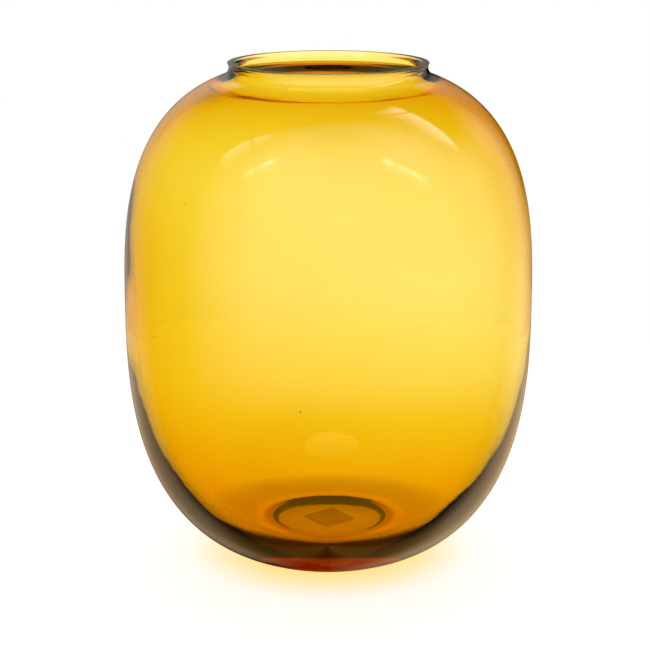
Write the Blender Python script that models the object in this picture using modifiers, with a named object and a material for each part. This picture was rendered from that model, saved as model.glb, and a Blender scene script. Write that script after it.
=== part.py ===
"""Wide-mouthed round vase of amber blown glass, with a blank label stuck under its base.

The vase stands on z = 0 and its axis is the z axis. All sizes are in metres.
"""
import math

import bmesh
import bpy

OBJECT_NAME = "glass_vase"

# Outside of the vessel
BODY_RADIUS = 0.100
TOTAL_HEIGHT = 0.246
BELLY_LEVEL = 0.128
SHOULDER_FULLNESS = 2.90
LOWER_FULLNESS = 2.67

# Neck and flat-cut rim
NECK_RADIUS = 0.0479
RIM_FLARE = 0.0006
RIM_WALL = 0.0033
RIM_EDGE = 0.0003
COLLAR_HEIGHT = 0.0056
NECK_FILLET = 0.0042
NECK_WALL = 0.0036
WAIST_RISE = 0.0034

# Glass thickness
SIDE_WALL = 0.0033
NECK_DROP = 0.0050
THROAT_REACH = 0.0110
THROAT_RISE = 0.0085
FLOOR_LEVEL = 0.0060
INNER_SHOULDER_FULLNESS = 3.00
INNER_LOWER_FULLNESS = 2.52

# Foot and pushed-up base
FOOT_RADIUS = 0.036
STANDING_RING_WIDTH = 0.005
FOOT_ROUNDING = 0.0016
KICK_HEIGHT = 0.0030
KICK_FLATNESS = 24

# Label
LABEL_SIDE = 0.021
LABEL_THICKNESS = 0.00025
LABEL_CORNER_CUT = 0.04
LABEL_CORNER_POWER = 8
LABEL_GAP = 0.0003
LABEL_TURN = math.radians(38)

# Fineness of the meshes
TURN_STEPS = 60
CURVE_STEPS = 12
BEND_STEPS = 3
LABEL_CELLS = 10

GLASS_COLOUR = (0.95, 0.66, 0.10, 1.0)
GLASS_ROUGHNESS = 0.02
GLASS_REFRACTION = 1.5
LABEL_COLOUR = (0.82, 0.80, 0.74, 1.0)
LABEL_ROUGHNESS = 0.6
SHARP_ANGLE = math.radians(35)


def remaining_height(radius, full_radius, fullness):
    """Share of a rounded quarter's height that is left at a radius."""
    return (1 - (radius / full_radius) ** fullness) ** (1 / fullness)


def rounded_quarter(full_radius, half_height, fullness, end_radius, steps):
    """Points (radius, rise) from the widest ring to end_radius, on a full, rounded curve."""
    last_angle = math.acos((end_radius / full_radius) ** (fullness / 2))
    points = []
    for step in range(steps + 1):
        angle = last_angle * step / steps
        radius = full_radius * math.cos(angle) ** (2 / fullness)
        rise = half_height * math.sin(angle) ** (2 / fullness)
        points.append((radius, rise))
    return points


def bend(start, corner, end, steps):
    """Points inside a smooth bend that leaves start towards corner and arrives at end."""
    points = []
    for step in range(1, steps):
        t = step / steps
        points.append(tuple(
            (1 - t) ** 2 * a + 2 * t * (1 - t) * b + t ** 2 * c
            for a, b, c in zip(start, corner, end)
        ))
    return points


def kick_radius():
    """Radius at which the pushed-up middle of the base meets the standing ring."""
    return FOOT_RADIUS - STANDING_RING_WIDTH


def kick_level(radius):
    """Height of the pushed-up underside at a radius."""
    return KICK_HEIGHT * (1 - (radius / kick_radius()) ** KICK_FLATNESS)


def inside_points():
    """Inner wall from the middle of the floor up to the rim's inner edge."""
    inner_radius = BODY_RADIUS - SIDE_WALL
    bore_radius = NECK_RADIUS - NECK_WALL
    rim_inner_radius = NECK_RADIUS + RIM_FLARE - RIM_WALL
    shoulder_level = TOTAL_HEIGHT - COLLAR_HEIGHT - NECK_DROP
    shoulder_end = bore_radius + THROAT_REACH
    shoulder_rise = (shoulder_level - BELLY_LEVEL) / remaining_height(
        bore_radius, inner_radius, INNER_SHOULDER_FULLNESS)

    lower = rounded_quarter(
        inner_radius, BELLY_LEVEL - FLOOR_LEVEL, INNER_LOWER_FULLNESS, 0, CURVE_STEPS)
    points = [(radius, BELLY_LEVEL - drop) for radius, drop in reversed(lower)]
    points[0] = (0, FLOOR_LEVEL)

    upper = rounded_quarter(
        inner_radius, shoulder_rise, INNER_SHOULDER_FULLNESS, shoulder_end, CURVE_STEPS)
    points += [(radius, BELLY_LEVEL + rise) for radius, rise in upper[1:]]

    bore_foot = (bore_radius, shoulder_level + THROAT_RISE)
    points += bend(points[-1], (bore_radius, shoulder_level), bore_foot, BEND_STEPS)
    points.append(bore_foot)
    points.append((rim_inner_radius, TOTAL_HEIGHT - RIM_EDGE))
    return points


def rim_points():
    """Flat-cut top of the rim, with a fine bevel at each edge."""
    rim_outer_radius = NECK_RADIUS + RIM_FLARE
    return [
        (rim_outer_radius - RIM_WALL + RIM_EDGE, TOTAL_HEIGHT),
        (rim_outer_radius - RIM_EDGE, TOTAL_HEIGHT),
        (rim_outer_radius, TOTAL_HEIGHT - RIM_EDGE),
    ]


def outside_points():
    """Outer wall from the neck's waist down to the standing ring."""
    junction_level = TOTAL_HEIGHT - COLLAR_HEIGHT
    waist = (NECK_RADIUS, junction_level + WAIST_RISE)
    shoulder_rise = (junction_level - BELLY_LEVEL) / remaining_height(
        NECK_RADIUS, BODY_RADIUS, SHOULDER_FULLNESS)
    lower_drop = BELLY_LEVEL / remaining_height(FOOT_RADIUS, BODY_RADIUS, LOWER_FULLNESS)

    upper = rounded_quarter(
        BODY_RADIUS, shoulder_rise, SHOULDER_FULLNESS, NECK_RADIUS + NECK_FILLET, CURVE_STEPS)
    shoulder = [(radius, BELLY_LEVEL + rise) for radius, rise in reversed(upper)]
    points = [waist]
    points += bend(waist, (NECK_RADIUS, junction_level), shoulder[0], BEND_STEPS)
    points += shoulder

    lower = rounded_quarter(
        BODY_RADIUS, lower_drop, LOWER_FULLNESS, FOOT_RADIUS + FOOT_ROUNDING, CURVE_STEPS)
    points += [(radius, BELLY_LEVEL - drop) for radius, drop in lower[1:]]
    return points


def base_points(last_outside):
    """Standing ring and pushed-up underside, from the foot's outer edge to the axis."""
    inner_edge = kick_radius()
    rounding = min(FOOT_ROUNDING, STANDING_RING_WIDTH) / 2
    ring_outer = (FOOT_RADIUS - rounding, 0)
    ring_inner = (inner_edge + rounding, 0)
    dome_start = inner_edge - FOOT_ROUNDING
    dome_foot = (dome_start, kick_level(dome_start))

    points = bend(last_outside, (FOOT_RADIUS, 0), ring_outer, BEND_STEPS)
    points += [ring_outer, ring_inner]
    points += bend(ring_inner, (inner_edge, 0), dome_foot, BEND_STEPS)
    for step in range(CURVE_STEPS // 2):
        radius = dome_start * math.cos(math.pi / 2 * step / (CURVE_STEPS // 2))
        points.append((radius, kick_level(radius)))
    points.append((0, KICK_HEIGHT))
    return points


def glass_material():
    """Clear amber glass."""
    material = bpy.data.materials.new("amber_glass")
    material.use_nodes = True
    shader = material.node_tree.nodes["Principled BSDF"]
    shader.inputs["Base Color"].default_value = GLASS_COLOUR
    shader.inputs["Roughness"].default_value = GLASS_ROUGHNESS
    shader.inputs["IOR"].default_value = GLASS_REFRACTION
    shader.inputs["Transmission Weight"].default_value = 1.0
    return material


def label_material():
    """Matt off-white label film."""
    material = bpy.data.materials.new("label_film")
    material.use_nodes = True
    shader = material.node_tree.nodes["Principled BSDF"]
    shader.inputs["Base Color"].default_value = LABEL_COLOUR
    shader.inputs["Roughness"].default_value = LABEL_ROUGHNESS
    return material


def add_object(name, mesh, material, collection):
    """Put a mesh in the collection as a named, smooth-shaded object."""
    mesh.materials.append(material)
    mesh.shade_smooth()
    mesh.set_sharp_from_angle(angle=SHARP_ANGLE)
    thing = bpy.data.objects.new(name, mesh)
    collection.objects.link(thing)
    return thing


def build_vase_body(collection):
    """One blown vessel: floor, belly, shoulder, neck and rim in a single turned wall."""
    points = inside_points() + rim_points() + outside_points()
    points += base_points(points[-1])
    outline = bmesh.new()
    verts = [outline.verts.new((radius, 0, level)) for radius, level in points]
    for upper, lower in zip(verts, verts[1:]):
        outline.edges.new((upper, lower))
    mesh = bpy.data.meshes.new("vase_body")
    outline.to_mesh(mesh)
    outline.free()

    body = add_object("vase_body", mesh, glass_material(), collection)
    turning = body.modifiers.new("turning", "SCREW")
    turning.axis = "Z"
    turning.angle = math.tau
    turning.steps = TURN_STEPS
    turning.render_steps = TURN_STEPS
    turning.use_merge_vertices = True
    turning.merge_threshold = 0.00001
    turning.use_smooth_shade = True


def build_base_label(collection):
    """Square label that follows the pushed-up underside, just clear of the glass."""
    sheet = bmesh.new()
    bmesh.ops.create_grid(sheet, x_segments=LABEL_CELLS, y_segments=LABEL_CELLS, size=1)
    half_side = LABEL_SIDE / 2
    for vert in sheet.verts:
        u, v = vert.co.x, vert.co.y
        pull_in = 1 - LABEL_CORNER_CUT * (u * v) ** LABEL_CORNER_POWER
        x = half_side * u * pull_in
        y = half_side * v * pull_in
        vert.co = (x, y, kick_level(math.hypot(x, y)) - LABEL_GAP)
    mesh = bpy.data.meshes.new("base_label")
    sheet.to_mesh(mesh)
    sheet.free()

    label = add_object("base_label", mesh, label_material(), collection)
    thicken = label.modifiers.new("thickness", "SOLIDIFY")
    thicken.thickness = LABEL_THICKNESS
    thicken.offset = -1
    label.rotation_euler.z = LABEL_TURN


def main():
    for thing in list(bpy.data.objects):
        bpy.data.objects.remove(thing)
    collection = bpy.data.collections.new(OBJECT_NAME)
    bpy.context.scene.collection.children.link(collection)
    build_vase_body(collection)
    build_base_label(collection)


main()
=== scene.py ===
"""Amber blown-glass vase: the finished glass, its label and a plain studio round them."""
import math
import random

import bmesh
import bpy
from bpy.props import (
    FloatProperty,
    FloatVectorProperty,
    IntProperty,
    PointerProperty,
)
from mathutils import Matrix, Vector, noise


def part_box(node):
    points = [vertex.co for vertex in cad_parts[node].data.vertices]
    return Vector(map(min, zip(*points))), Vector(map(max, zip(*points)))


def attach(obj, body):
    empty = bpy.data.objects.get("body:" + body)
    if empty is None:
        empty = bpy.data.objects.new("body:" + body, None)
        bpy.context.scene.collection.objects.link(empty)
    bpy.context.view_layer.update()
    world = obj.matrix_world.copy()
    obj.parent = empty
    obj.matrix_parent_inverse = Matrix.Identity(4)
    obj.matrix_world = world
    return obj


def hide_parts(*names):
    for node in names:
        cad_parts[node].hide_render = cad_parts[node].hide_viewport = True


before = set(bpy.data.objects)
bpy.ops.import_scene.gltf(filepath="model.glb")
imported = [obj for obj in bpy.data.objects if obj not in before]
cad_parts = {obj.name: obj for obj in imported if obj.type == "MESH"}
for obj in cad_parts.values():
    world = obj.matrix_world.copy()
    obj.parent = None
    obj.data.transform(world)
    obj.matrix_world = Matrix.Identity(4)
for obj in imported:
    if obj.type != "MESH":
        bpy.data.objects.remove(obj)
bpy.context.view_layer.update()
VESSEL_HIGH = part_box("vase_body")[1]

bl_info = {
    "name": "Blown Glass Vase",
    "version": (1, 0, 0),
    "blender": (4, 5, 0),
    "location": "3D View > Sidebar > Vase",
    "description": "Builds a wide-mouthed amber glass vase with its label and a small studio",
    "category": "Add Mesh",
}

ROOT_BODY = "root"
WHITE = (1, 1, 1, 1)
BLACK = (0, 0, 0, 1)


# ---------------------------------------------------------------------------
# Settings
# ---------------------------------------------------------------------------

class VesselSettings(bpy.types.PropertyGroup):
    """Outline, wall and base of the blown vessel."""
    body_radius: FloatProperty(
        name="Body radius", description="Radius of the widest ring",
        default=VESSEL_HIGH[0], unit="LENGTH")
    height: FloatProperty(
        name="Height", description="Height of the cut rim above the table",
        default=VESSEL_HIGH[2], unit="LENGTH")
    belly_level: FloatProperty(
        name="Belly level", description="Height of the widest ring",
        default=0.128, unit="LENGTH")
    shoulder_fullness: FloatProperty(
        name="Shoulder fullness", description="Exponent of the upper curve; 2 is an ellipse",
        default=2.90)
    lower_fullness: FloatProperty(
        name="Lower fullness", description="Exponent of the lower curve; 2 is an ellipse",
        default=2.67)
    neck_radius: FloatProperty(
        name="Neck radius", description="Outer radius of the waist under the rim",
        default=0.0479, unit="LENGTH")
    rim_flare: FloatProperty(
        name="Rim flare", description="How far the rim stands out over the waist",
        default=0.0006, unit="LENGTH")
    rim_wall: FloatProperty(
        name="Rim wall", description="Width of the cut and polished top",
        default=0.0033, unit="LENGTH")
    rim_edge: FloatProperty(
        name="Rim edge", description="Bevel on each edge of the cut top",
        default=0.0003, unit="LENGTH")
    collar_height: FloatProperty(
        name="Collar height", description="Height of the collar above the shoulder",
        default=0.0056, unit="LENGTH")
    waist_rise: FloatProperty(
        name="Waist rise", description="Height of the waist above the shoulder",
        default=0.0034, unit="LENGTH")
    neck_fillet: FloatProperty(
        name="Neck fillet", description="Reach of the bend from neck to shoulder",
        default=0.0042, unit="LENGTH")
    neck_wall: FloatProperty(
        name="Neck wall", description="Glass thickness at the waist",
        default=0.0036, unit="LENGTH")
    neck_drop: FloatProperty(
        name="Neck drop", description="Glass thickness, measured down, where neck meets shoulder",
        default=0.0050, unit="LENGTH")
    throat_reach: FloatProperty(
        name="Throat reach", description="Width of the bend from bore to shoulder inside",
        default=0.0110, unit="LENGTH")
    throat_rise: FloatProperty(
        name="Throat rise", description="Height of the bend from shoulder to bore inside",
        default=0.0085, unit="LENGTH")
    side_wall: FloatProperty(
        name="Side wall", description="Average glass thickness at the belly",
        default=0.0033, unit="LENGTH")
    floor_level: FloatProperty(
        name="Floor level", description="Height of the middle of the inner floor",
        default=0.0060, unit="LENGTH")
    inner_shoulder_fullness: FloatProperty(
        name="Inner shoulder fullness", description="Exponent of the cavity's upper curve",
        default=3.00)
    inner_lower_fullness: FloatProperty(
        name="Inner lower fullness", description="Exponent of the cavity's lower curve",
        default=2.52)
    foot_radius: FloatProperty(
        name="Foot radius", description="Outer radius of the standing ring",
        default=0.036, unit="LENGTH")
    ring_width: FloatProperty(
        name="Standing ring width", description="From the foot's edge to the pushed-up middle",
        default=0.005, unit="LENGTH")
    foot_rounding: FloatProperty(
        name="Foot rounding", description="Reach of the bends beside the standing ring",
        default=0.0016, unit="LENGTH")
    kick_height: FloatProperty(
        name="Kick height", description="How far the middle of the base is pushed up",
        default=0.0030, unit="LENGTH")
    kick_flatness: FloatProperty(
        name="Kick flatness", description="Exponent of the pushed-up base; 2 is a dome",
        default=24.0)
    turn_steps: IntProperty(
        name="Steps round", description="Facets round the vessel", default=288)
    curve_steps: IntProperty(
        name="Steps along", description="Facets along each long curve", default=48)


class BlowingSettings(bpy.types.PropertyGroup):
    """Unevenness that hand blowing leaves in the wall."""
    belly_lean: FloatProperty(
        name="Belly lean", description="Sideways shift of the cavity at the belly",
        default=0.0010, unit="LENGTH")
    base_lean: FloatProperty(
        name="Base lean", description="Sideways shift of the cavity near the floor",
        default=0.0007, unit="LENGTH")
    shoulder_lean: FloatProperty(
        name="Shoulder lean", description="Opposite shift of the cavity at the shoulder",
        default=0.0006, unit="LENGTH")
    swell: FloatProperty(
        name="Swell", description="Depth of the broad waves in the inner wall",
        default=0.00012, unit="LENGTH")
    swell_size: FloatProperty(
        name="Swell size", description="Length of the broad waves",
        default=0.045, unit="LENGTH")
    seeds: IntProperty(
        name="Seeds", description="Number of tiny air bubbles in the glass", default=14)
    seed_radius: FloatProperty(
        name="Seed radius", description="Radius of the largest air bubble",
        default=0.00045, unit="LENGTH")


class GlassSettings(bpy.types.PropertyGroup):
    """Optical values of the glass."""
    refraction: FloatProperty(
        name="Refractive index", description="Refractive index of soda glass", default=1.51)
    depth_colour: FloatVectorProperty(
        name="Depth colour", description="Colour that the glass lets through",
        subtype="COLOR", size=3, min=0, max=1, default=(0.970, 0.868, 0.0))
    depth_strength: FloatProperty(
        name="Depth strength", description="Absorption per metre of what isn't let through",
        default=450.0)


class LabelSettings(bpy.types.PropertyGroup):
    """Blank label under the base."""
    side: FloatProperty(
        name="Side", description="Side of the square label", default=0.021, unit="LENGTH")
    thickness: FloatProperty(
        name="Thickness", description="Thickness of the film",
        default=0.00012, unit="LENGTH")
    gap: FloatProperty(
        name="Gap", description="Thickness of the adhesive between film and glass",
        default=0.00003, unit="LENGTH")
    turn: FloatProperty(
        name="Turn", description="Turn of the label about the vase's axis",
        default=math.radians(38), subtype="ANGLE")
    blister_depth: FloatProperty(
        name="Blister depth", description="How far the film stands off at its air pocket",
        default=0.0003, unit="LENGTH")
    colour: FloatVectorProperty(
        name="Colour", description="Colour of the blank film",
        subtype="COLOR", size=3, min=0, max=1, default=(0.88, 0.62, 0.50))


class StageSettings(bpy.types.PropertyGroup):
    """Floor, light and camera."""
    camera_distance: FloatProperty(
        name="Camera distance", description="From the vase's axis to the camera",
        default=0.950, unit="LENGTH")
    camera_height: FloatProperty(
        name="Camera height", description="Camera height above the table",
        default=0.3608, unit="LENGTH")
    camera_pitch: FloatProperty(
        name="Camera pitch", description="How far the camera looks down",
        default=math.radians(14.47), subtype="ANGLE")
    camera_side: FloatProperty(
        name="Camera side", description="Sideways offset of the camera",
        default=-0.0016, unit="LENGTH")
    lens: FloatProperty(
        name="Lens", description="Focal length in millimetres", default=109.6)
    floor_radius: FloatProperty(
        name="Floor radius", description="Radius of the pale table top",
        default=0.45, unit="LENGTH")
    room_light: FloatProperty(
        name="Room light", description="Light that falls on the floor", default=0.40)
    through_light: FloatProperty(
        name="Through light", description="Light that falls on the table through the glass",
        default=1.5)
    screen_light: FloatProperty(
        name="Screen light", description="Brightness of the white screens seen through the glass",
        default=1.10)
    glow_light: FloatProperty(
        name="Glow light", description="Light that the table top gives off by itself", default=0.75)
    foot_shade: FloatProperty(
        name="Foot shade radius", description="Where the shade under the foot begins to fade",
        default=0.034, unit="LENGTH")
    glow_inner: FloatProperty(
        name="Glow inner radius", description="Where the amber glow begins to fade",
        default=0.040, unit="LENGTH")
    glow_outer: FloatProperty(
        name="Glow outer radius", description="Where the amber glow ends",
        default=0.078, unit="LENGTH")
    glow_tint: FloatVectorProperty(
        name="Glow tint", description="Colour of the amber glow next to the foot",
        subtype="COLOR", size=3, min=0, max=1, default=(1.0, 0.84, 0.36))
    # Painted light: the amber light that the glass would throw under the foot, painted into the
    # table's glow colour
    foot_glow_tint: FloatVectorProperty(
        name="Foot glow tint", description="Colour of the amber light painted on the table under the foot",
        subtype="COLOR", size=3, min=0, max=1, default=(1.0, 0.50, 0.10))
    under_shade: FloatProperty(
        name="Under shade", description="Share of light left on the table under the round heel",
        default=0.10)
    behind_shade: FloatProperty(
        name="Behind shade", description="Share of light left on the table round the vase's shade",
        default=0.72)
    inner_tint: FloatVectorProperty(
        name="Inner tint", description="Colour of light that is mirrored inside the glass",
        subtype="COLOR", size=3, min=0, max=1, default=(1.0, 0.77, 0.45))
    mirror_tint: FloatVectorProperty(
        name="Mirror tint", description="Colour of the soft lights that the glass mirrors",
        subtype="COLOR", size=3, min=0, max=1, default=(1.0, 0.93, 0.82))
    table_tint: FloatVectorProperty(
        name="Table tint", description="Colour of the glow that the vase throws on the table",
        subtype="COLOR", size=3, min=0, max=1, default=(1.0, 0.68, 0.36))


class VaseSettings(bpy.types.PropertyGroup):
    """All settings of the vase and its stage."""
    vessel: PointerProperty(type=VesselSettings)
    blowing: PointerProperty(type=BlowingSettings)
    glass: PointerProperty(type=GlassSettings)
    label: PointerProperty(type=LabelSettings)
    stage: PointerProperty(type=StageSettings)


# ---------------------------------------------------------------------------
# Outline of the vessel
# ---------------------------------------------------------------------------

# Facets along the short parts of the outline
THROAT_STEPS = 10
BORE_STEPS = 4
RIM_EDGE_STEPS = 4
RIM_LAND_STEPS = 6
COLLAR_STEPS = 4
NECK_STEPS = 10
FOOT_STEPS = 8
RING_STEPS = 4


def remaining_height(radius, full_radius, fullness):
    """Share of a rounded quarter's height that is left at a radius."""
    return (1 - (radius / full_radius) ** fullness) ** (1 / fullness)


def rounded_quarter(full_radius, half_height, fullness, end_radius, steps):
    """Points (radius, rise) from the widest ring to end_radius, on a full, rounded curve."""
    last_angle = math.acos((end_radius / full_radius) ** (fullness / 2))
    points = []
    for step in range(steps + 1):
        angle = last_angle * step / steps
        radius = full_radius * math.cos(angle) ** (2 / fullness)
        rise = half_height * math.sin(angle) ** (2 / fullness)
        points.append((radius, rise))
    return points


def bend(start, corner, end, steps):
    """Points inside a smooth bend that leaves start towards corner and arrives at end."""
    points = []
    for step in range(1, steps):
        t = step / steps
        points.append(tuple(
            (1 - t) ** 2 * a + 2 * t * (1 - t) * b + t ** 2 * c
            for a, b, c in zip(start, corner, end)
        ))
    return points


def straight(start, end, steps):
    """Points strictly between start and end."""
    return [
        tuple(a + (b - a) * step / steps for a, b in zip(start, end))
        for step in range(1, steps)
    ]


def kick_radius(vessel):
    """Radius at which the pushed-up middle of the base meets the standing ring."""
    return vessel.foot_radius - vessel.ring_width


def kick_level(vessel, radius):
    """Height of the pushed-up underside at a radius."""
    share = radius / kick_radius(vessel)
    return vessel.kick_height * (1 - share ** vessel.kick_flatness)


def inside_outline(vessel):
    """Inner wall from the middle of the floor up to the rim's inner edge."""
    inner_radius = vessel.body_radius - vessel.side_wall
    bore_radius = vessel.neck_radius - vessel.neck_wall
    rim_inner_radius = vessel.neck_radius + vessel.rim_flare - vessel.rim_wall
    shoulder_level = vessel.height - vessel.collar_height - vessel.neck_drop
    shoulder_end = bore_radius + vessel.throat_reach
    shoulder_rise = (shoulder_level - vessel.belly_level) / remaining_height(
        bore_radius, inner_radius, vessel.inner_shoulder_fullness)

    lower = rounded_quarter(
        inner_radius, vessel.belly_level - vessel.floor_level,
        vessel.inner_lower_fullness, 0, vessel.curve_steps)
    points = [(radius, vessel.belly_level - drop) for radius, drop in reversed(lower)]
    points[0] = (0, vessel.floor_level)

    upper = rounded_quarter(
        inner_radius, shoulder_rise, vessel.inner_shoulder_fullness,
        shoulder_end, vessel.curve_steps)
    points += [(radius, vessel.belly_level + rise) for radius, rise in upper[1:]]

    bore_foot = (bore_radius, shoulder_level + vessel.throat_rise)
    points += bend(points[-1], (bore_radius, shoulder_level), bore_foot, THROAT_STEPS)
    bore_top = (rim_inner_radius, vessel.height - vessel.rim_edge)
    points.append(bore_foot)
    points += straight(bore_foot, bore_top, BORE_STEPS)
    points.append(bore_top)
    return points


def rim_outline(vessel):
    """Cut top of the rim, with a small round on each edge."""
    outer = vessel.neck_radius + vessel.rim_flare
    inner = outer - vessel.rim_wall
    edge = vessel.rim_edge
    top = vessel.height
    inner_start = (inner, top - edge)
    land_start = (inner + edge, top)
    land_end = (outer - edge, top)
    outer_end = (outer, top - edge)
    points = bend(inner_start, (inner, top), land_start, RIM_EDGE_STEPS)
    points.append(land_start)
    points += straight(land_start, land_end, RIM_LAND_STEPS)
    points.append(land_end)
    points += bend(land_end, (outer, top), outer_end, RIM_EDGE_STEPS)
    points.append(outer_end)
    return points


def outside_outline(vessel, rim_end):
    """Outer wall from under the rim down to the foot."""
    junction_level = vessel.height - vessel.collar_height
    waist = (vessel.neck_radius, junction_level + vessel.waist_rise)
    shoulder_rise = (junction_level - vessel.belly_level) / remaining_height(
        vessel.neck_radius, vessel.body_radius, vessel.shoulder_fullness)
    lower_drop = vessel.belly_level / remaining_height(
        vessel.foot_radius, vessel.body_radius, vessel.lower_fullness)

    upper = rounded_quarter(
        vessel.body_radius, shoulder_rise, vessel.shoulder_fullness,
        vessel.neck_radius + vessel.neck_fillet, vessel.curve_steps)
    shoulder = [(radius, vessel.belly_level + rise) for radius, rise in reversed(upper)]
    under_rim = (vessel.neck_radius, rim_end[1] - vessel.rim_edge)
    points = bend(rim_end, under_rim, waist, COLLAR_STEPS)
    points.append(waist)
    points += bend(waist, (vessel.neck_radius, junction_level), shoulder[0], NECK_STEPS)
    points += shoulder

    lower = rounded_quarter(
        vessel.body_radius, lower_drop, vessel.lower_fullness,
        vessel.foot_radius + vessel.foot_rounding, vessel.curve_steps)
    points += [(radius, vessel.belly_level - drop) for radius, drop in lower[1:]]
    return points


def base_outline(vessel, last_outside):
    """Standing ring and pushed-up underside, from the foot's outer edge to the axis."""
    inner_edge = kick_radius(vessel)
    rounding = min(vessel.foot_rounding, vessel.ring_width) / 2
    ring_outer = (vessel.foot_radius - rounding, 0)
    ring_inner = (inner_edge + rounding, 0)
    dome_start = inner_edge - vessel.foot_rounding
    dome_foot = (dome_start, kick_level(vessel, dome_start))

    points = bend(last_outside, (vessel.foot_radius, 0), ring_outer, FOOT_STEPS)
    points.append(ring_outer)
    points += straight(ring_outer, ring_inner, RING_STEPS)
    points.append(ring_inner)
    points += bend(ring_inner, (inner_edge, 0), dome_foot, FOOT_STEPS)
    steps = vessel.curve_steps // 2
    for step in range(steps):
        radius = dome_start * math.cos(math.pi / 2 * step / steps)
        points.append((radius, kick_level(vessel, radius)))
    points.append((0, vessel.kick_height))
    return points


# ---------------------------------------------------------------------------
# Meshes
# ---------------------------------------------------------------------------

MERGE_DISTANCE = 0.000001

# Levels at which the cavity's lean and waves change, as shares of the vase's height
SHOULDER_SHARE = 0.86
LEAN_END_SHARE = 0.92
SWELL_END_SHARE = 0.93
COLLAR_SHARE = 0.975

# The middle of the floor stays in place; lean and waves are full outside the second radius
CENTRE_RADIUS = 0.004
FLOOR_RADIUS = 0.030

# Small waves: their depth and length as a share of the broad ones, and their place in the noise
SMALL_SWELL = 0.4
SMALL_SWELL_PLACE = Vector((7, 3, 5))

# Air bubbles: levels as shares of the height, sizes as shares of the largest, and upright stretch
SEED_DICE = 7
SEED_LEVELS = (0.25, 0.80)
SEED_SIZES = (0.35, 1.0)
SEED_STRETCHES = (1.0, 1.8)

# Label: facets along a side, rounding of its corners, and its air pocket, where a half side is 1
LABEL_CELLS = 40
LABEL_CORNER_CUT = 0.04
LABEL_CORNER_POWER = 8
BLISTER_MIDDLE = (0.45, -0.55)
BLISTER_REACH = (0.28, 0.12)


def turned_mesh(points, inner_count, steps):
    """Spin an outline about the z axis; the layer "inner" marks the first inner_count rings."""
    mesh = bmesh.new()
    inner_layer = mesh.verts.layers.float.new("inner")
    verts = []
    for index, (radius, level) in enumerate(points):
        vert = mesh.verts.new((radius, 0, level))
        vert[inner_layer] = 1.0 if index < inner_count else 0.0
        verts.append(vert)
    edges = [mesh.edges.new(pair) for pair in zip(verts, verts[1:])]
    bmesh.ops.spin(
        mesh, geom=verts + edges, cent=(0, 0, 0), axis=(0, 0, 1),
        angle=math.tau, steps=steps, use_merge=True)
    bmesh.ops.remove_doubles(mesh, verts=mesh.verts, dist=MERGE_DISTANCE)
    bmesh.ops.recalc_face_normals(mesh, faces=mesh.faces)
    return mesh


def smooth_step(value, low, high):
    """0 below low, 1 above high and a smooth rise between."""
    t = min(max((value - low) / (high - low), 0), 1)
    return t * t * (3 - 2 * t)


def cavity_lean(vessel, blowing, level):
    """Sideways shift of the cavity: one way up to the belly, the other way at the shoulder."""
    to_belly = smooth_step(level, vessel.floor_level, vessel.belly_level)
    to_shoulder = smooth_step(level, vessel.belly_level, vessel.height * SHOULDER_SHARE)
    to_rim = smooth_step(level, vessel.height * LEAN_END_SHARE, vessel.height * COLLAR_SHARE)
    lean = blowing.base_lean + (blowing.belly_lean - blowing.base_lean) * to_belly
    lean += (-blowing.shoulder_lean - lean) * to_shoulder
    return lean * (1 - to_rim)


def shape_cavity(mesh, vessel, blowing):
    """Lean the inner wall and give it the broad, soft waves of blown glass."""
    inner_layer = mesh.verts.layers.float["inner"]
    for vert in mesh.verts:
        if vert[inner_layer] < 0.5:
            continue
        level = vert.co.z
        radius = math.hypot(vert.co.x, vert.co.y)
        off_axis = smooth_step(radius, CENTRE_RADIUS, FLOOR_RADIUS)
        under_rim = 1 - smooth_step(
            level, vessel.height * SWELL_END_SHARE, vessel.height * COLLAR_SHARE)
        wave = noise.noise(vert.co / blowing.swell_size)
        small_place = vert.co / (blowing.swell_size * SMALL_SWELL) + SMALL_SWELL_PLACE
        wave += SMALL_SWELL * noise.noise(small_place)
        outward = Vector((vert.co.x, vert.co.y, 0))
        if radius > 0:
            outward /= radius
        vert.co += outward * wave * blowing.swell * off_axis * under_rim
        vert.co.x += cavity_lean(vessel, blowing, level) * off_axis


def add_seeds(mesh, vessel, blowing):
    """Tiny air bubbles in the middle of the wall, as hollows in the same glass."""
    dice = random.Random(SEED_DICE)
    for _ in range(blowing.seeds):
        turn = dice.uniform(0, math.tau)
        level = dice.uniform(*SEED_LEVELS) * vessel.height
        side = abs(level - vessel.belly_level)
        upper = level > vessel.belly_level
        reach = (vessel.height - vessel.belly_level) if upper else vessel.belly_level
        fullness = vessel.shoulder_fullness if upper else vessel.lower_fullness
        outer = vessel.body_radius * remaining_height(side, reach, fullness)
        radius = outer - vessel.side_wall / 2
        size = blowing.seed_radius * dice.uniform(*SEED_SIZES)
        place = Matrix.Translation((radius * math.cos(turn), radius * math.sin(turn), level))
        stretch = Matrix.Diagonal((1, 1, dice.uniform(*SEED_STRETCHES), 1))
        bubble = bmesh.ops.create_icosphere(
            mesh, subdivisions=2, radius=size, matrix=place @ stretch)
        faces = {face for vert in bubble["verts"] for face in vert.link_faces}
        bmesh.ops.reverse_faces(mesh, faces=list(faces))


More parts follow.
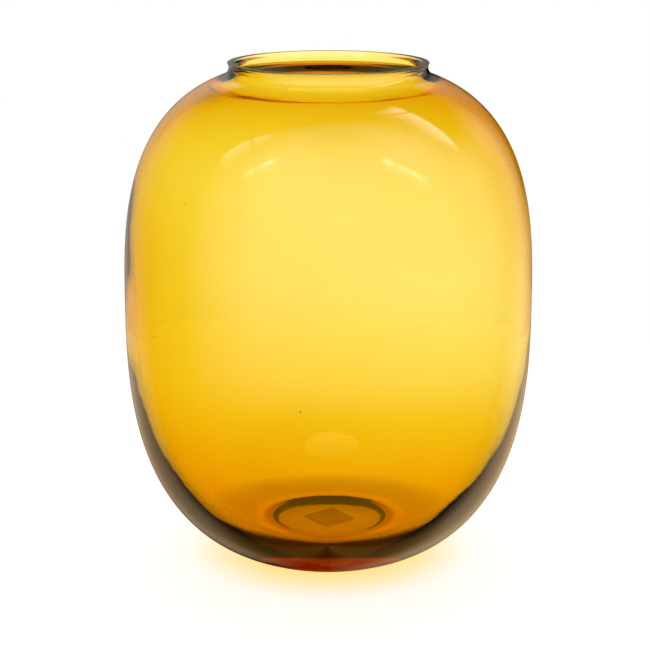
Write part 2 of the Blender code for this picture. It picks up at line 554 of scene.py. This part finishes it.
def label_mesh(vessel, label):
    """Square film that follows the pushed-up underside, with its corners rounded and one blister."""
    mesh = bmesh.new()
    bmesh.ops.create_grid(mesh, x_segments=LABEL_CELLS, y_segments=LABEL_CELLS, size=1)
    half_side = label.side / 2
    for vert in mesh.verts:
        u, v = vert.co.x, vert.co.y
        pull_in = 1 - LABEL_CORNER_CUT * (u * v) ** LABEL_CORNER_POWER
        x = half_side * u * pull_in
        y = half_side * v * pull_in
        across = (u - BLISTER_MIDDLE[0]) / BLISTER_REACH[0]
        along = (v - BLISTER_MIDDLE[1]) / BLISTER_REACH[1]
        blister = label.blister_depth * math.exp(-(across ** 2 + along ** 2))
        vert.co = (x, y, kick_level(vessel, math.hypot(x, y)) - label.gap - blister)
    bmesh.ops.recalc_face_normals(mesh, faces=mesh.faces)
    bmesh.ops.solidify(mesh, geom=mesh.faces[:], thickness=label.thickness)
    bmesh.ops.rotate(mesh, verts=mesh.verts, cent=(0, 0, 0),
                     matrix=Matrix.Rotation(label.turn, 3, "Z"))
    return mesh


def finish_piece(name, mesh, material):
    """Turn a bmesh into a smooth-shaded object with its material."""
    data = bpy.data.meshes.new(name)
    mesh.to_mesh(data)
    mesh.free()
    data.materials.append(material)
    data.shade_smooth()
    piece = bpy.data.objects.new(name, data)
    bpy.context.scene.collection.objects.link(piece)
    return piece


# ---------------------------------------------------------------------------
# Materials
# ---------------------------------------------------------------------------

# Faint marks in the glass: noise scales per metre, strengths, and bump depth in metres
CORD_SCALE = (18, 18, 70)
RIPPLE_SCALE = 120.0
RIPPLE_SHARE = 0.25
GLASS_BUMP = 0.35
GLASS_BUMP_DEPTH = 0.00006
HAZE_SCALE = 28.0
HAZE_START = 0.52
HAZE_ROUGHNESS = 0.10

# Label film, in the same units; the stain's tint multiplies the film's colour
FIBRE_SCALE = (900, 2600, 900)
FIBRE_BUMP = 0.4
FIBRE_DEPTH = 0.00005
FIBRE_ROUGHNESS = 0.3
FILM_ROUGHNESS = 0.45
STAIN_SCALE = 160.0
STAIN_TINT = (0.9, 0.84, 0.72)

# Table top: its two greys and how fine they mix, its finish, and the light left under the foot
FLOOR_PALE = (0.93, 0.93, 0.93, 1)
FLOOR_DULL = (0.90, 0.90, 0.90, 1)
MOTTLE_SCALE = 9.0
FLOOR_ROUGHNESS = 0.9
CONTACT_LIGHT = 0.3

# Shades round the foot: start and end of each ramp in metres, the first three from the radius of
# the foot's shade and the last from the glow's outer radius
HEEL_SHADE = (0.002, 0.013)
BEHIND_SHADE = (0.002, 0.012)
BEHIND_LIGHT = (0.020, 0.080)
HEEL_LIGHT = (-0.018, -0.008)

# Light path depths: below the first a ray has crossed one wall, above the second it has bounced
ONE_WALL = 2.5
ANY_BOUNCE = 0.5


def new_group(name, inputs, outputs):
    """Empty shader node group with named sockets; returns (group, input node, output node)."""
    group = bpy.data.node_groups.new(name, "ShaderNodeTree")
    for label, kind, default in inputs:
        socket = group.interface.new_socket(name=label, in_out="INPUT", socket_type=kind)
        socket.default_value = default
    for label, kind in outputs:
        group.interface.new_socket(name=label, in_out="OUTPUT", socket_type=kind)
    return group, group.nodes.new("NodeGroupInput"), group.nodes.new("NodeGroupOutput")


def math_node(tree, operation, first, second=None, clamp=False):
    """Math node; each operand is a number or a socket."""
    node = tree.nodes.new("ShaderNodeMath")
    node.operation = operation
    node.use_clamp = clamp
    for index, operand in enumerate((first, second)):
        if operand is None:
            continue
        if isinstance(operand, (int, float)):
            node.inputs[index].default_value = operand
        else:
            tree.links.new(operand, node.inputs[index])
    return node.outputs[0]


def noise_node(tree, vector, scale, detail=2.0, roughness=0.5):
    """Value of a noise texture; scale is in repeats per unit of the vector."""
    node = tree.nodes.new("ShaderNodeTexNoise")
    node.inputs["Detail"].default_value = detail
    node.inputs["Roughness"].default_value = roughness
    node.inputs["Scale"].default_value = scale
    tree.links.new(vector, node.inputs["Vector"])
    return node.outputs["Fac"]


def stretched(tree, vector, scale):
    """Vector scaled by a different amount along each axis."""
    node = tree.nodes.new("ShaderNodeMapping")
    node.inputs["Scale"].default_value = scale
    tree.links.new(vector, node.inputs["Vector"])
    return node.outputs["Vector"]


def colour_mix(tree, first, second, share):
    """Colour between first and second; each is a colour or a socket, share is a socket."""
    node = tree.nodes.new("ShaderNodeMix")
    node.data_type = "RGBA"
    for socket, colour in ((node.inputs["A"], first), (node.inputs["B"], second)):
        if isinstance(colour, tuple):
            socket.default_value = colour
        else:
            tree.links.new(colour, socket)
    tree.links.new(share, node.inputs["Factor"])
    return node.outputs["Result"]


def bump_node(tree, height, strength, depth):
    """Normal bumped by a height that is worth depth metres at 1."""
    node = tree.nodes.new("ShaderNodeBump")
    node.inputs["Strength"].default_value = strength
    node.inputs["Distance"].default_value = depth
    tree.links.new(height, node.inputs["Height"])
    return node.outputs["Normal"]


def amber_glass(settings):
    """Clear amber glass: colour from its depth, with faint cords, ripple and handling haze."""
    material = bpy.data.materials.new("amber_glass")
    material.use_nodes = True
    tree = material.node_tree
    shader = tree.nodes["Principled BSDF"]
    output = tree.nodes["Material Output"]
    shader.inputs["Base Color"].default_value = WHITE
    shader.inputs["Metallic"].default_value = 0.0
    shader.inputs["IOR"].default_value = settings.refraction
    shader.inputs["Transmission Weight"].default_value = 1.0

    place = tree.nodes.new("ShaderNodeTexCoord").outputs["Object"]
    cords = noise_node(tree, stretched(tree, place, CORD_SCALE), 1.0, detail=3.0)
    ripple = noise_node(tree, place, RIPPLE_SCALE)
    height = math_node(tree, "ADD", cords, math_node(tree, "MULTIPLY", ripple, RIPPLE_SHARE))
    bumped = bump_node(tree, height, GLASS_BUMP, GLASS_BUMP_DEPTH)
    tree.links.new(bumped, shader.inputs["Normal"])

    haze = noise_node(tree, place, HAZE_SCALE, detail=4.0, roughness=0.6)
    haze = math_node(tree, "SUBTRACT", haze, HAZE_START, clamp=True)
    haze = math_node(tree, "MULTIPLY", haze, HAZE_ROUGHNESS)
    tree.links.new(haze, shader.inputs["Roughness"])

    depth = tree.nodes.new("ShaderNodeVolumeAbsorption")
    depth.inputs["Color"].default_value = (*settings.depth_colour, 1)
    depth.inputs["Density"].default_value = settings.depth_strength
    tree.links.new(depth.outputs["Volume"], output.inputs["Volume"])
    return material


def label_film(settings):
    """Matt blank film with a faint fibre and a little yellowing."""
    material = bpy.data.materials.new("label_film")
    material.use_nodes = True
    tree = material.node_tree
    shader = tree.nodes["Principled BSDF"]
    place = tree.nodes.new("ShaderNodeTexCoord").outputs["Object"]
    fibre = noise_node(tree, stretched(tree, place, FIBRE_SCALE), 1.0, detail=3.0)
    stain = noise_node(tree, place, STAIN_SCALE, detail=3.0)
    stained = [part * tint for part, tint in zip(settings.colour, STAIN_TINT)]
    paint = colour_mix(tree, (*settings.colour, 1), (*stained, 1), stain)
    tree.links.new(paint, shader.inputs["Base Color"])
    rough = math_node(tree, "MULTIPLY", fibre, FIBRE_ROUGHNESS)
    rough = math_node(tree, "ADD", rough, FILM_ROUGHNESS)
    tree.links.new(rough, shader.inputs["Roughness"])
    bumped = bump_node(tree, fibre, FIBRE_BUMP, FIBRE_DEPTH)
    tree.links.new(bumped, shader.inputs["Normal"])
    return material


def ramp_node(tree, value, start, end, low, high):
    """Smooth ramp from low to high while value goes from start to end."""
    node = tree.nodes.new("ShaderNodeMapRange")
    node.interpolation_type = "SMOOTHSTEP"
    node.inputs["From Min"].default_value = start
    node.inputs["From Max"].default_value = end
    node.inputs["To Min"].default_value = low
    node.inputs["To Max"].default_value = high
    tree.links.new(value, node.inputs["Value"])
    return node.outputs["Result"]


def choose(tree, mask, value, otherwise):
    """value where mask is 1 and otherwise where it is 0."""
    kept = math_node(tree, "MULTIPLY", math_node(tree, "SUBTRACT", 1.0, mask), otherwise)
    taken = math_node(tree, "MULTIPLY", mask, value)
    return math_node(tree, "ADD", taken, kept)


def ring_shade(tree, radius, shade, light, share):
    """Light left on the table: falls to a share over the span shade, comes back over light."""
    falling = ramp_node(tree, radius, *shade, 1, share)
    rising = ramp_node(tree, radius, *light, 0, 1)
    return math_node(tree, "ADD", falling, rising, clamp=True)


def foot_light(tree, settings, radius):
    """Share of light left round the foot, for what is seen through the glass."""
    heel_shade, behind_shade, behind_light = [
        [settings.foot_shade + end for end in span]
        for span in (HEEL_SHADE, BEHIND_SHADE, BEHIND_LIGHT)
    ]
    heel_light = [settings.glow_outer + end for end in HEEL_LIGHT]
    heel = ring_shade(tree, radius, heel_shade, heel_light, settings.under_shade)
    behind = ring_shade(tree, radius, behind_shade, behind_light, settings.behind_shade)
    rays = tree.nodes.new("ShaderNodeLightPath").outputs
    one_wall = math_node(tree, "LESS_THAN", rays["Transmission Depth"], ONE_WALL)
    seen_through = choose(tree, one_wall, heel, behind)
    return choose(tree, rays["Is Transmission Ray"], seen_through, 1.0)


def pale_floor_material(settings):
    """Matt pale table top, faintly mottled, with an amber glow and a contact shade at the foot."""
    material = bpy.data.materials.new("pale_floor")
    material.use_nodes = True
    tree = material.node_tree
    shader = tree.nodes["Principled BSDF"]
    place = tree.nodes.new("ShaderNodeTexCoord").outputs["Object"]
    mottle = noise_node(tree, place, MOTTLE_SCALE, detail=4.0)
    paint = colour_mix(tree, FLOOR_PALE, FLOOR_DULL, mottle)
    shader.inputs["Roughness"].default_value = FLOOR_ROUGHNESS
    shader.inputs["Specular IOR Level"].default_value = 0.0

    distance = tree.nodes.new("ShaderNodeVectorMath")
    distance.operation = "LENGTH"
    tree.links.new(place, distance.inputs[0])
    radius = distance.outputs["Value"]
    foot_ramp = (settings.foot_shade, settings.glow_inner)
    glow_ramp = (settings.glow_inner, settings.glow_outer)
    # Painted light: the amber glow round the foot and the amber light under it are painted into the
    # table's emission colour
    glow = colour_mix(tree, (*settings.glow_tint, 1), WHITE,
                      ramp_node(tree, radius, *glow_ramp, 0, 1))
    glow = colour_mix(tree, (*settings.foot_glow_tint, 1), glow,
                      ramp_node(tree, radius, *foot_ramp, 0, 1))
    tree.links.new(glow, shader.inputs["Emission Color"])

    light = foot_light(tree, settings, radius)
    tree.links.new(colour_mix(tree, BLACK, paint, light), shader.inputs["Base Color"])
    glow_light = math_node(tree, "MULTIPLY", light, settings.glow_light)
    contact = ramp_node(tree, radius, *foot_ramp, CONTACT_LIGHT, 1.0)
    glow_light = math_node(tree, "MULTIPLY", contact, glow_light)
    tree.links.new(glow_light, shader.inputs["Emission Strength"])
    return material


# ---------------------------------------------------------------------------
# Stage
# ---------------------------------------------------------------------------

# Strips: blur of their ends and of their sharp edge, and half width of their seam, in degrees
STRIP_END_BLUR = 7.0
STRIP_EDGE_BLUR = 2.5
STRIP_SEAM = 2.0

FLOOR_FACETS = 96
FLOOR_DROP = 0.0001
SENSOR_WIDTH = 36
CLIP_START = 0.01


def soft_light_group():
    """Node group: brightness of one softbox, sharp at its top edge and fading below it."""
    group, given, result = new_group(
        "soft_light",
        [("Azimuth", "NodeSocketFloat", 0.0), ("Elevation", "NodeSocketFloat", 0.0),
         ("Middle", "NodeSocketFloat", 0.0), ("Half Width", "NodeSocketFloat", 20.0),
         ("Top", "NodeSocketFloat", 45.0), ("Depth", "NodeSocketFloat", 20.0),
         ("Side Blur", "NodeSocketFloat", 6.0), ("Top Blur", "NodeSocketFloat", 2.0),
         ("Strength", "NodeSocketFloat", 1.0)],
        [("Light", "NodeSocketFloat")])
    value = given.outputs
    aside = math_node(group, "PINGPONG", math_node(
        group, "SUBTRACT", value["Azimuth"], value["Middle"]), 180.0)
    aside = math_node(group, "SUBTRACT", value["Half Width"], aside)
    sides = math_node(group, "DIVIDE", aside, value["Side Blur"], clamp=True)
    under = math_node(group, "SUBTRACT", value["Top"], value["Elevation"])
    top = math_node(group, "DIVIDE", under, value["Top Blur"], clamp=True)
    fade = math_node(group, "SUBTRACT", 1.0, math_node(group, "DIVIDE", under, value["Depth"]),
                     clamp=True)
    light = math_node(group, "MULTIPLY", sides, math_node(group, "MULTIPLY", top, fade))
    light = math_node(group, "MULTIPLY", light, value["Strength"])
    group.links.new(light, result.inputs["Light"])
    return group


def strip_light_group():
    """Node group: brightness of a long light that is sharp at one edge and fades beside it."""
    group, given, result = new_group(
        "strip_light",
        [("Azimuth", "NodeSocketFloat", 0.0), ("Elevation", "NodeSocketFloat", 0.0),
         ("Middle", "NodeSocketFloat", 0.0), ("Height", "NodeSocketFloat", 45.0),
         ("Turn", "NodeSocketFloat", 0.0), ("Bow", "NodeSocketFloat", 0.0),
         ("Half Length", "NodeSocketFloat", 15.0),
         ("Depth", "NodeSocketFloat", 12.0), ("Seam", "NodeSocketFloat", 0.0),
         ("Strength", "NodeSocketFloat", 1.0)],
        [("Light", "NodeSocketFloat")])
    value = given.outputs
    aside = math_node(group, "SUBTRACT", value["Azimuth"], value["Middle"])
    above = math_node(group, "SUBTRACT", value["Elevation"], value["Height"])
    turn = math_node(group, "RADIANS", value["Turn"])
    cosine = math_node(group, "COSINE", turn)
    sine = math_node(group, "SINE", turn)
    along = math_node(group, "ADD", math_node(group, "MULTIPLY", aside, cosine),
                      math_node(group, "MULTIPLY", above, sine))
    inward = math_node(group, "SUBTRACT", math_node(group, "MULTIPLY", aside, sine),
                       math_node(group, "MULTIPLY", above, cosine))
    bow = math_node(group, "MULTIPLY", math_node(group, "MULTIPLY", along, along), value["Bow"])
    inward = math_node(group, "SUBTRACT", inward, bow)
    ends = math_node(group, "DIVIDE", math_node(
        group, "SUBTRACT", value["Half Length"], math_node(group, "ABSOLUTE", along)),
        STRIP_END_BLUR, clamp=True)
    edge = math_node(group, "DIVIDE", inward, STRIP_EDGE_BLUR, clamp=True)
    fade = math_node(group, "SUBTRACT", 1.0, math_node(group, "DIVIDE", inward, value["Depth"]),
                     clamp=True)
    fade = math_node(group, "POWER", fade, 2.0)
    seam = math_node(group, "ABSOLUTE", math_node(group, "SUBTRACT", along, value["Seam"]))
    seam = math_node(group, "DIVIDE", seam, STRIP_SEAM, clamp=True)
    light = math_node(group, "MULTIPLY", math_node(group, "MULTIPLY", ends, edge),
                      math_node(group, "MULTIPLY", fade, seam))
    light = math_node(group, "MULTIPLY", light, value["Strength"])
    group.links.new(light, result.inputs["Light"])
    return group


# Soft lights that the glass mirrors, in degrees: azimuth of the middle, counted from the camera's
# side, half width, top elevation, depth below the top, blur of the sides and of the top; strength.
SOFTBOXES = (
    ("front_fill", 16, 101, 95, 400, 45, 45, 3.3),
    ("right_fill", 118, 38, 36, 400, 20, 14, 0.8),
    ("left_back", -152, 34, 32, 400, 22, 14, 0.42),
    ("back_wall", 180, 30, 34, 34, 20, 6, 1.0),
    ("left_patch", -47, 6, 52, 14, 3, 2, 1.5),
    ("right_patch", 48, 6, 52, 14, 3, 2, 2.0),
)
# Long lights with one sharp edge, in degrees: azimuth and elevation of the edge's middle, turn of
# the edge, its bow, half length, width of the fade beside it, place of the seam; strength.
STRIPS = (
    ("left_inner", -53.4, 45.4, 45, 0.011, 14, 10, -3, 6.0),
    ("left_outer", -83.5, 52.4, 76, 0.010, 17, 18, 4, 4.5),
    ("right_inner", 58, 42, -44, 0.005, 17, 10, -6, 7.0),
    ("right_outer", 121.3, 49.1, 214, -0.0125, 25, 22, -12, 6.0),
)
# Lit table top that the glass mirrors beside and behind the vase, in the order of the soft lights.
TABLE_GLOW = (
    ("left_table", -145, 30, -6, 400, 16, 12, 0.75),
    ("right_table", 146, 34, -6, 400, 20, 12, 1.10),
)

# Ramps of the room's light: start, end, and the values there. The first two run over a direction's
# share to the right or away from the camera, the others over degrees of elevation.
OVERHEAD_SIDES = (-0.3, 0.3, 0.60, 0.30)
ROOM_DEPTH = (-0.3, 0.8, 0.7, 1.7)
OVERHEAD_START = (28, 50, 0.0, 1.0)
BOX_BOTTOM = (-27, -6, 0.0, 1.0)
TABLE_FALL = (-62, -42, 0.5, 1.0)
TABLE_WARMTH = (-58, -44, 0.0, 1.0)


def mirrored_lights(tree, azimuth, elevation, lights, group):
    """Sum of a list of lights, each made by the node group from its name and its values."""
    labels = [item.name for item in group.interface.items_tree if item.in_out == "INPUT"][2:]
    total = None
    for name, *values in lights:
        box = tree.nodes.new("ShaderNodeGroup")
        box.node_tree = group
        box.label = name
        tree.links.new(azimuth, box.inputs["Azimuth"])
        tree.links.new(elevation, box.inputs["Elevation"])
        for label, value in zip(labels, values, strict=True):
            box.inputs[label].default_value = value
        light = box.outputs["Light"]
        total = light if total is None else math_node(tree, "ADD", total, light)
    return total


def ray_direction(tree):
    """Sockets of a ray's heading: share to the right, share ahead, degrees of azimuth and height."""
    heading = tree.nodes.new("ShaderNodeTexCoord").outputs["Generated"]
    split = tree.nodes.new("ShaderNodeSeparateXYZ")
    tree.links.new(heading, split.inputs[0])
    across, ahead, up = split.outputs
    towards = math_node(tree, "MULTIPLY", ahead, -1.0)
    azimuth = math_node(tree, "DEGREES", math_node(tree, "ARCTAN2", across, towards))
    elevation = math_node(tree, "DEGREES", math_node(tree, "ARCSINE", up))
    return across, ahead, azimuth, elevation


def mirrored_room(tree, azimuth, elevation):
    """Brightness of all that the glass mirrors, and of the lit table alone."""
    soft_light = soft_light_group()
    boxes = mirrored_lights(tree, azimuth, elevation, SOFTBOXES, soft_light)
    boxes = math_node(tree, "MULTIPLY", boxes, ramp_node(tree, elevation, *BOX_BOTTOM))
    strips = mirrored_lights(tree, azimuth, elevation, STRIPS, strip_light_group())
    table = mirrored_lights(tree, azimuth, elevation, TABLE_GLOW, soft_light)
    table = math_node(tree, "MULTIPLY", table, ramp_node(tree, elevation, *TABLE_FALL))
    mirrored = math_node(tree, "ADD", math_node(tree, "ADD", boxes, strips), table)
    return mirrored, table


def room_colour(tree, settings, rays, elevation, mirrored, table):
    """Colour of the room's light: warm where the glass mirrors it, outside or inside its wall."""
    table_colour = colour_mix(tree, (*settings.foot_glow_tint, 1), (*settings.table_tint, 1),
                              ramp_node(tree, elevation, *TABLE_WARMTH))
    outer_colour = colour_mix(tree, (*settings.mirror_tint, 1), table_colour,
                              math_node(tree, "DIVIDE", table, mirrored, clamp=True))
    bounced = math_node(tree, "GREATER_THAN", rays["Glossy Depth"], ANY_BOUNCE)
    inside = math_node(tree, "MULTIPLY", bounced, rays["Is Transmission Ray"])
    through_colour = colour_mix(tree, WHITE, (*settings.inner_tint, 1), inside)
    not_bent = math_node(tree, "SUBTRACT", 1.0, rays["Is Transmission Ray"])
    outer = math_node(tree, "MULTIPLY", rays["Is Glossy Ray"], not_bent)
    return colour_mix(tree, through_colour, outer_colour, outer)


def room_strength(tree, settings, rays, across, ahead, elevation, mirrored):
    """Brightness of the room's light, chosen by the kind of ray that meets it."""
    overhead = ramp_node(tree, across, *OVERHEAD_SIDES)
    screens = choose(tree, ramp_node(tree, elevation, *OVERHEAD_START), overhead, 1.0)
    screens = math_node(tree, "MULTIPLY", screens, settings.screen_light)
    room = math_node(tree, "MULTIPLY", ramp_node(tree, ahead, *ROOM_DEPTH), settings.room_light)
    from_floor = math_node(tree, "GREATER_THAN", rays["Diffuse Depth"], ANY_BOUNCE)
    floor_through = math_node(tree, "MULTIPLY", from_floor, rays["Is Transmission Ray"])

    strength = choose(tree, rays["Is Glossy Ray"], mirrored, room)
    strength = choose(tree, rays["Is Transmission Ray"], screens, strength)
    strength = choose(tree, from_floor, room, strength)
    strength = choose(tree, floor_through, settings.through_light, strength)
    return choose(tree, rays["Is Camera Ray"], 1.0, strength)


def studio_world(settings):
    """White room: bright screens that the glass bends, softboxes and strips that it mirrors."""
    world = bpy.data.worlds.new("studio")
    world.use_nodes = True
    tree = world.node_tree
    background = tree.nodes["Background"]
    rays = tree.nodes.new("ShaderNodeLightPath").outputs
    across, ahead, azimuth, elevation = ray_direction(tree)
    mirrored, table = mirrored_room(tree, azimuth, elevation)
    colour = room_colour(tree, settings, rays, elevation, mirrored, table)
    strength = room_strength(tree, settings, rays, across, ahead, elevation, mirrored)
    tree.links.new(colour, background.inputs["Color"])
    tree.links.new(strength, background.inputs["Strength"])
    return world


def add_floor(settings):
    """Round pale table top under the vase."""
    mesh = bmesh.new()
    bmesh.ops.create_circle(
        mesh, cap_ends=True, segments=FLOOR_FACETS, radius=settings.floor_radius,
        matrix=Matrix.Translation((0, 0, -FLOOR_DROP)))
    floor = finish_piece("floor", mesh, pale_floor_material(settings))
    floor.visible_glossy = False


def add_camera(settings):
    """Camera a little above the rim, looking slightly down."""
    data = bpy.data.cameras.new("camera")
    data.lens = settings.lens
    data.sensor_width = SENSOR_WIDTH
    data.clip_start = CLIP_START
    camera = bpy.data.objects.new("camera", data)
    camera.location = (settings.camera_side, -settings.camera_distance, settings.camera_height)
    camera.rotation_euler = (math.radians(90) - settings.camera_pitch, 0, 0)
    bpy.context.scene.collection.objects.link(camera)
    bpy.context.scene.camera = camera


# ---------------------------------------------------------------------------
# Operators, panel and registration
# ---------------------------------------------------------------------------

class VASE_OT_blow_vessel(bpy.types.Operator):
    """Blow the glass vessel with its uneven wall, seeds and cut rim"""
    bl_idname = "vase.blow_vessel"
    bl_label = "Blow Vessel"

    def execute(self, context):
        settings = context.scene.vase
        vessel = settings.vessel
        inside = inside_outline(vessel)
        points = inside + rim_outline(vessel)
        points += outside_outline(vessel, points[-1])
        points += base_outline(vessel, points[-1])
        mesh = turned_mesh(points, len(inside) - 1, vessel.turn_steps)
        shape_cavity(mesh, vessel, settings.blowing)
        add_seeds(mesh, vessel, settings.blowing)
        piece = finish_piece("glass_vessel", mesh, amber_glass(settings.glass))
        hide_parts("vase_body")
        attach(piece, ROOT_BODY)
        return {"FINISHED"}


class VASE_OT_stick_label(bpy.types.Operator):
    """Stick the blank square label under the pushed-up base"""
    bl_idname = "vase.stick_label"
    bl_label = "Stick Label"

    def execute(self, context):
        settings = context.scene.vase
        label = settings.label
        mesh = label_mesh(settings.vessel, label)
        piece = finish_piece("label", mesh, label_film(label))
        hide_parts("base_label")
        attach(piece, ROOT_BODY)
        return {"FINISHED"}


class VASE_OT_set_stage(bpy.types.Operator):
    """Set the pale floor, the soft lights and the camera"""
    bl_idname = "vase.set_stage"
    bl_label = "Set Stage"

    def execute(self, context):
        settings = context.scene.vase.stage
        add_floor(settings)
        context.scene.world = studio_world(settings)
        context.scene.view_settings.view_transform = "Standard"
        add_camera(settings)
        return {"FINISHED"}


class VASE_PT_sidebar(bpy.types.Panel):
    """Buttons for the vase and its stage"""
    bl_idname = "VASE_PT_sidebar"
    bl_label = "Blown Glass Vase"
    bl_space_type = "VIEW_3D"
    bl_region_type = "UI"
    bl_category = "Vase"

    def draw(self, context):
        settings = context.scene.vase
        for group in (settings.vessel, settings.blowing, settings.glass,
                      settings.label, settings.stage):
            box = self.layout.box()
            for name in group.__annotations__:
                box.prop(group, name)
        for operator in PIECE_OPERATORS:
            self.layout.operator(operator.bl_idname)


PIECE_OPERATORS = (VASE_OT_blow_vessel, VASE_OT_stick_label, VASE_OT_set_stage)
CLASSES = (
    VesselSettings, BlowingSettings, GlassSettings, LabelSettings, StageSettings, VaseSettings,
    *PIECE_OPERATORS, VASE_PT_sidebar,
)


def register():
    """Add the classes and the scene's vase settings."""
    for item in CLASSES:
        bpy.utils.register_class(item)
    bpy.types.Scene.vase = PointerProperty(type=VaseSettings)


def unregister():
    """Remove what register added."""
    del bpy.types.Scene.vase
    for item in reversed(CLASSES):
        bpy.utils.unregister_class(item)


def main():
    """Make every piece and the stage."""
    register()
    bpy.ops.vase.blow_vessel()
    bpy.ops.vase.stick_label()
    bpy.ops.vase.set_stage()


if __name__ == "__main__":
    main()
